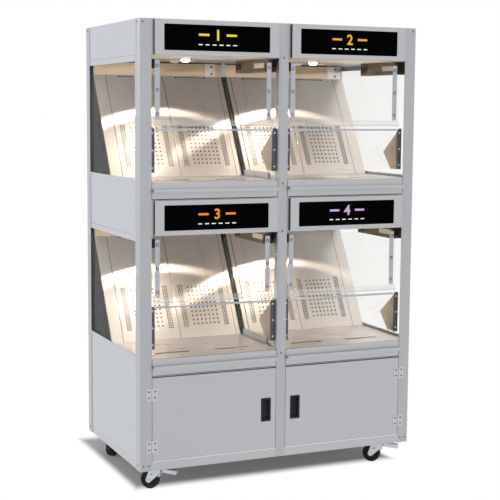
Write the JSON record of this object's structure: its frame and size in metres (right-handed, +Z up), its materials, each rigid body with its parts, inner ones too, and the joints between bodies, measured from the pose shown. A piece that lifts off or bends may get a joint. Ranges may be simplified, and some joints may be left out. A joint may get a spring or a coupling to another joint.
{
  "type": "popcorn staging cabinet",
  "caption": "Upright stainless cabinet on casters: glazed warmed cells with clear flaps and kernel drawers over a base cupboard with a pair of doors.",
  "frame": {"origin": "on the floor, under the middle of the bounding box", "axes": "+Z up; the front looks along -Y; +X to the right of someone facing the front"},
  "size_m": [1.223, 0.729, 1.87],
  "materials": {
    "stainless": "satin",
    "clear_glass": "polished",
    "clear_plastic": "polished",
    "black_plastic": "gloss",
    "charcoal_plastic": "matte",
    "black_steel": "satin",
    "zinc": "satin",
    "wheel_rubber": "matte",
    "lamp_glass": "frosted",
    "heater_casing": "satin",
    "screw_steel": "satin"
  },
  "bodies": {
    "cabinet": {"upright_posts": "stainless", "base_rails": "stainless", "decks": "stainless", "wall_panels": "stainless", "service_panel": "stainless", "divider_trim": "stainless", "slope_panels": "stainless", "sign_boxes": "stainless", "sign_covers": "stainless", "control_boxes": "stainless", "sift_trays": "stainless", "guard_brackets": "stainless", "drawer_runners": "stainless", "side_glass": "clear_glass", "divider_glass": "clear_glass", "guard_sheets": "clear_plastic", "sign_panels": "black_plastic", "power_inlet": "black_plastic", "lamp_lenses": "lamp_glass", "hinge_leaves": "zinc", "caster_plates": "zinc", "heater_units": "heater_casing", "flap_brackets": "black_steel", "body_screws": "screw_steel"},
    "flap_lower_left": {"flap_sheet_lower_left": "clear_plastic", "flap_flats_lower_left": "stainless", "flap_ears_lower_left": "black_steel"},
    "drawer_lower_left": {"kernel_drawer_lower_left": "stainless"},
    "rocker_lower_left": {"rocker_lower_left": "black_plastic"},
    "flap_lower_right": {"flap_sheet_lower_right": "clear_plastic", "flap_flats_lower_right": "stainless", "flap_ears_lower_right": "black_steel"},
    "drawer_lower_right": {"kernel_drawer_lower_right": "stainless"},
    "rocker_lower_right": {"rocker_lower_right": "black_plastic"},
    "flap_upper_left": {"flap_sheet_upper_left": "clear_plastic", "flap_flats_upper_left": "stainless", "flap_ears_upper_left": "black_steel"},
    "drawer_upper_left": {"kernel_drawer_upper_left": "stainless"},
    "rocker_upper_left": {"rocker_upper_left": "black_plastic"},
    "flap_upper_right": {"flap_sheet_upper_right": "clear_plastic", "flap_flats_upper_right": "stainless", "flap_ears_upper_right": "black_steel"},
    "drawer_upper_right": {"kernel_drawer_upper_right": "stainless"},
    "rocker_upper_right": {"rocker_upper_right": "black_plastic"},
    "door_left": {"door_panel_left": "stainless", "door_pull_left": "charcoal_plastic", "door_leaves_left": "zinc"},
    "door_right": {"door_panel_right": "stainless", "door_pull_right": "charcoal_plastic", "door_leaves_right": "zinc"},
    "fork_front_left": {"caster_fork_front_left": "zinc"},
    "wheel_front_left": {"caster_wheel_front_left": "wheel_rubber"},
    "brake_front_left": {"caster_brake_front_left": "zinc"},
    "fork_front_right": {"caster_fork_front_right": "zinc"},
    "wheel_front_right": {"caster_wheel_front_right": "wheel_rubber"},
    "brake_front_right": {"caster_brake_front_right": "zinc"},
    "fork_rear_left": {"caster_fork_rear_left": "zinc"},
    "wheel_rear_left": {"caster_wheel_rear_left": "wheel_rubber"},
    "fork_rear_right": {"caster_fork_rear_right": "zinc"},
    "wheel_rear_right": {"caster_wheel_rear_right": "wheel_rubber"}
  },
  "joints": [
    {"name": "flap_lower_left_hinge", "type": "hinge", "parent": "cabinet", "child": "flap_lower_left", "pos_m": [-0.2905, -0.3095, 1.01], "axis": [-1, 0, 0], "range_deg": [0, 95]},
    {"name": "drawer_lower_left_slide", "type": "slide", "parent": "cabinet", "child": "drawer_lower_left", "axis": [0, -1, 0], "range_m": [0, 0.3]},
    {"name": "rocker_lower_left_press", "type": "hinge", "parent": "cabinet", "child": "rocker_lower_left", "pos_m": [-0.057, -0.0275, 1.01], "axis": [0, 0, 1], "range_deg": [0, 12]},
    {"name": "flap_lower_right_hinge", "type": "hinge", "parent": "cabinet", "child": "flap_lower_right", "pos_m": [0.2905, -0.3095, 1.01], "axis": [-1, 0, 0], "range_deg": [0, 95]},
    {"name": "drawer_lower_right_slide", "type": "slide", "parent": "cabinet", "child": "drawer_lower_right", "axis": [0, -1, 0], "range_m": [0, 0.3]},
    {"name": "rocker_lower_right_press", "type": "hinge", "parent": "cabinet", "child": "rocker_lower_right", "pos_m": [0.5465, -0.0275, 1.01], "axis": [0, 0, 1], "range_deg": [0, 12]},
    {"name": "flap_upper_left_hinge", "type": "hinge", "parent": "cabinet", "child": "flap_upper_left", "pos_m": [-0.2905, -0.3095, 1.706], "axis": [-1, 0, 0], "range_deg": [0, 95]},
    {"name": "drawer_upper_left_slide", "type": "slide", "parent": "cabinet", "child": "drawer_upper_left", "axis": [0, -1, 0], "range_m": [0, 0.3]},
    {"name": "rocker_upper_left_press", "type": "hinge", "parent": "cabinet", "child": "rocker_upper_left", "pos_m": [-0.057, -0.0275, 1.706], "axis": [0, 0, 1], "range_deg": [0, 12]},
    {"name": "flap_upper_right_hinge", "type": "hinge", "parent": "cabinet", "child": "flap_upper_right", "pos_m": [0.2905, -0.3095, 1.706], "axis": [-1, 0, 0], "range_deg": [0, 95]},
    {"name": "drawer_upper_right_slide", "type": "slide", "parent": "cabinet", "child": "drawer_upper_right", "axis": [0, -1, 0], "range_m": [0, 0.3]},
    {"name": "rocker_upper_right_press", "type": "hinge", "parent": "cabinet", "child": "rocker_upper_right", "pos_m": [0.5465, -0.0275, 1.706], "axis": [0, 0, 1], "range_deg": [0, 12]},
    {"name": "door_left_hinge", "type": "hinge", "parent": "cabinet", "child": "door_left", "pos_m": [-0.56, -0.3487, 0.3065], "axis": [0, 0, -1], "range_deg": [0, 110]},
    {"name": "door_right_hinge", "type": "hinge", "parent": "cabinet", "child": "door_right", "pos_m": [0.56, -0.3487, 0.3065], "axis": [0, 0, 1], "range_deg": [0, 110]},
    {"name": "caster_front_left_swivel", "type": "hinge", "parent": "cabinet", "child": "fork_front_left", "pos_m": [-0.512, -0.2645, 0.09], "axis": [0, 0, 1], "continuous": true},
    {"name": "wheel_front_left_spin", "type": "hinge", "parent": "fork_front_left", "child": "wheel_front_left", "pos_m": [-0.53281, -0.24576, 0.038], "axis": [-0.6691, -0.7431, 0], "continuous": true},
    {"name": "brake_front_left_press", "type": "hinge", "parent": "fork_front_left", "child": "brake_front_left", "pos_m": [-0.49714, -0.27788, 0.076], "axis": [0.6691, 0.7431, 0], "range_deg": [0, 12]},
    {"name": "caster_front_right_swivel", "type": "hinge", "parent": "cabinet", "child": "fork_front_right", "pos_m": [0.512, -0.2645, 0.09], "axis": [0, 0, 1], "continuous": true},
    {"name": "wheel_front_right_spin", "type": "hinge", "parent": "fork_front_right", "child": "wheel_front_right", "pos_m": [0.49119, -0.24576, 0.038], "axis": [-0.6691, -0.7431, 0], "continuous": true},
    {"name": "brake_front_right_press", "type": "hinge", "parent": "fork_front_right", "child": "brake_front_right", "pos_m": [0.52686, -0.27788, 0.076], "axis": [0.6691, 0.7431, 0], "range_deg": [0, 12]},
    {"name": "caster_rear_left_swivel", "type": "hinge", "parent": "cabinet", "child": "fork_rear_left", "pos_m": [-0.512, 0.2835, 0.09], "axis": [0, 0, 1], "continuous": true},
    {"name": "wheel_rear_left_spin", "type": "hinge", "parent": "fork_rear_left", "child": "wheel_rear_left", "pos_m": [-0.53214, 0.26405, 0.038], "axis": [0.6947, -0.7193, 0], "continuous": true},
    {"name": "caster_rear_right_swivel", "type": "hinge", "parent": "cabinet", "child": "fork_rear_right", "pos_m": [0.512, 0.2835, 0.09], "axis": [0, 0, 1], "continuous": true},
    {"name": "wheel_rear_right_spin", "type": "hinge", "parent": "fork_rear_right", "child": "wheel_rear_right", "pos_m": [0.49186, 0.26405, 0.038], "axis": [0.6947, -0.7193, 0], "continuous": true}
  ]
}
